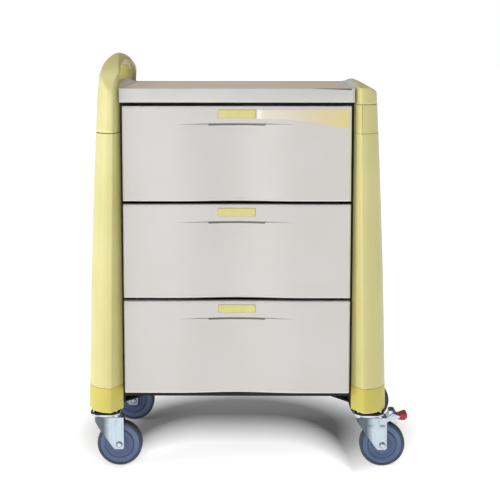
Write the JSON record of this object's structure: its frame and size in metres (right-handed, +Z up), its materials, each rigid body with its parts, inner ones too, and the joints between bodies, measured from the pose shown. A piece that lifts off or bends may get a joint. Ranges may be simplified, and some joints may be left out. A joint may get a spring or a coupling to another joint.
{
  "type": "instrument cart",
  "caption": "Wheeled clinic cart with stacked full-width drawers, moulded corner columns, a loop push handle at one end, a slide-out side shelf and swivel casters with a pedal brake.",
  "frame": {"origin": "on the floor, midway between the four caster swivel axes", "axes": "+X to the right along the width as seen from the drawer side, +Y to the back, -Y the side the drawers open towards, +Z up"},
  "size_m": [0.8816, 0.606, 1.142],
  "materials": {
    "black_paint": "semi-gloss black powder coat",
    "panel_grey": "satin light grey powder coat",
    "column_yellow": "satin pale yellow moulded plastic",
    "bumper_yellow": "darker yellow moulded plastic, slightly softer",
    "worktop_grey": "satin light grey moulded plastic",
    "surface_taupe": "fine-textured taupe sheet",
    "shelf_grey": "satin light grey board",
    "zinc": "bright zinc plate",
    "runner_steel": "bright zinc plate, lightly rolled",
    "front_grey": "satin warm light grey moulded plastic",
    "tray_grey": "satin light grey powder coat",
    "label_yellow": "pale yellow plate",
    "guard_blue": "dark slate blue plastic",
    "wheel_blue": "slate blue plastic",
    "tyre": "dark grey thermoplastic rubber",
    "pedal_red": "red moulded plastic"
  },
  "bodies": {
    "cabinet": {"base_pan": "black_paint", "wall_left": "black_paint", "wall_right": "black_paint", "back_panel": "panel_grey", "top_deck": "black_paint", "corner_frames": "black_paint", "column_front_left": "column_yellow", "column_front_right": "column_yellow", "column_rear_left": "column_yellow", "column_rear_right": "column_yellow", "bumpers": "bumper_yellow", "handle": "column_yellow", "end_cap": "column_yellow", "shelf_trim": "column_yellow", "side_panels": "panel_grey", "worktop": "worktop_grey", "work_surface": "surface_taupe", "caster_plates": "zinc", "caster_bolts": "zinc", "runner_outers": "runner_steel", "shelf_runners": "runner_steel"},
    "drawer_1": {"drawer_front_1": "front_grey", "drawer_box_1": "tray_grey", "label_1": "label_yellow", "runner_inner_1": "runner_steel"},
    "drawer_1_slides": {"runner_middle_1": "runner_steel"},
    "drawer_2": {"drawer_front_2": "front_grey", "drawer_box_2": "tray_grey", "label_2": "label_yellow", "runner_inner_2": "runner_steel"},
    "drawer_2_slides": {"runner_middle_2": "runner_steel"},
    "drawer_3": {"drawer_front_3": "front_grey", "drawer_box_3": "tray_grey", "label_3": "label_yellow", "runner_inner_3": "runner_steel"},
    "drawer_3_slides": {"runner_middle_3": "runner_steel"},
    "side_shelf": {"shelf_board": "shelf_grey", "shelf_end": "column_yellow"},
    "caster_front_left": {"fork_front_left": "zinc", "axle_front_left": "zinc"},
    "wheel_front_left": {"guards_front_left": "guard_blue", "core_front_left": "wheel_blue", "tyre_front_left": "tyre"},
    "caster_front_right": {"fork_front_right": "zinc", "axle_front_right": "zinc"},
    "wheel_front_right": {"guards_front_right": "guard_blue", "core_front_right": "wheel_blue", "tyre_front_right": "tyre"},
    "caster_rear_left": {"fork_rear_left": "zinc", "axle_rear_left": "zinc"},
    "wheel_rear_left": {"guards_rear_left": "guard_blue", "core_rear_left": "wheel_blue", "tyre_rear_left": "tyre"},
    "caster_rear_right": {"fork_rear_right": "zinc", "axle_rear_right": "zinc"},
    "wheel_rear_right": {"guards_rear_right": "guard_blue", "core_rear_right": "wheel_blue", "tyre_rear_right": "tyre"},
    "brake": {"brake_lever": "zinc", "brake_pad": "pedal_red"}
  },
  "joints": [
    {"name": "drawer_1_slide", "type": "slide", "parent": "cabinet", "child": "drawer_1", "axis": [0, -1, 0], "range_m": [0, 0.46]},
    {"name": "drawer_1_middle_slide", "type": "slide", "parent": "cabinet", "child": "drawer_1_slides", "axis": [0, -1, 0], "range_m": [0, 0.23]},
    {"name": "drawer_2_slide", "type": "slide", "parent": "cabinet", "child": "drawer_2", "axis": [0, -1, 0], "range_m": [0, 0.46]},
    {"name": "drawer_2_middle_slide", "type": "slide", "parent": "cabinet", "child": "drawer_2_slides", "axis": [0, -1, 0], "range_m": [0, 0.23]},
    {"name": "drawer_3_slide", "type": "slide", "parent": "cabinet", "child": "drawer_3", "axis": [0, -1, 0], "range_m": [0, 0.46]},
    {"name": "drawer_3_middle_slide", "type": "slide", "parent": "cabinet", "child": "drawer_3_slides", "axis": [0, -1, 0], "range_m": [0, 0.23]},
    {"name": "side_shelf_slide", "type": "slide", "parent": "cabinet", "child": "side_shelf", "axis": [1, 0, 0], "range_m": [0, 0.24]},
    {"name": "swivel_front_left", "type": "hinge", "parent": "cabinet", "child": "caster_front_left", "pos_m": [-0.365, -0.215, 0.14], "axis": [0, 0, 1], "continuous": true},
    {"name": "wheel_spin_front_left", "type": "hinge", "parent": "caster_front_left", "child": "wheel_front_left", "pos_m": [-0.327, -0.215, 0.0625], "axis": [0, 1, 0], "continuous": true},
    {"name": "swivel_front_right", "type": "hinge", "parent": "cabinet", "child": "caster_front_right", "pos_m": [0.365, -0.215, 0.14], "axis": [0, 0, 1], "continuous": true},
    {"name": "wheel_spin_front_right", "type": "hinge", "parent": "caster_front_right", "child": "wheel_front_right", "pos_m": [0.403, -0.215, 0.0625], "axis": [0, 1, 0], "continuous": true},
    {"name": "swivel_rear_left", "type": "hinge", "parent": "cabinet", "child": "caster_rear_left", "pos_m": [-0.365, 0.215, 0.14], "axis": [0, 0, 1], "continuous": true},
    {"name": "wheel_spin_rear_left", "type": "hinge", "parent": "caster_rear_left", "child": "wheel_rear_left", "pos_m": [-0.327, 0.215, 0.0625], "axis": [0, 1, 0], "continuous": true},
    {"name": "swivel_rear_right", "type": "hinge", "parent": "cabinet", "child": "caster_rear_right", "pos_m": [0.365, 0.215, 0.14], "axis": [0, 0, 1], "continuous": true},
    {"name": "wheel_spin_rear_right", "type": "hinge", "parent": "caster_rear_right", "child": "wheel_rear_right", "pos_m": [0.403, 0.215, 0.0625], "axis": [0, 1, 0], "continuous": true},
    {"name": "brake_pedal", "type": "hinge", "parent": "caster_front_right", "child": "brake", "pos_m": [0.432, -0.215, 0.143], "axis": [0, 1, 0], "range_deg": [0, 17]}
  ],
  "couplings": [
    {"joint": "drawer_1_middle_slide", "follows": "drawer_1_slide", "ratio": 0.5},
    {"joint": "drawer_2_middle_slide", "follows": "drawer_2_slide", "ratio": 0.5},
    {"joint": "drawer_3_middle_slide", "follows": "drawer_3_slide", "ratio": 0.5}
  ]
}
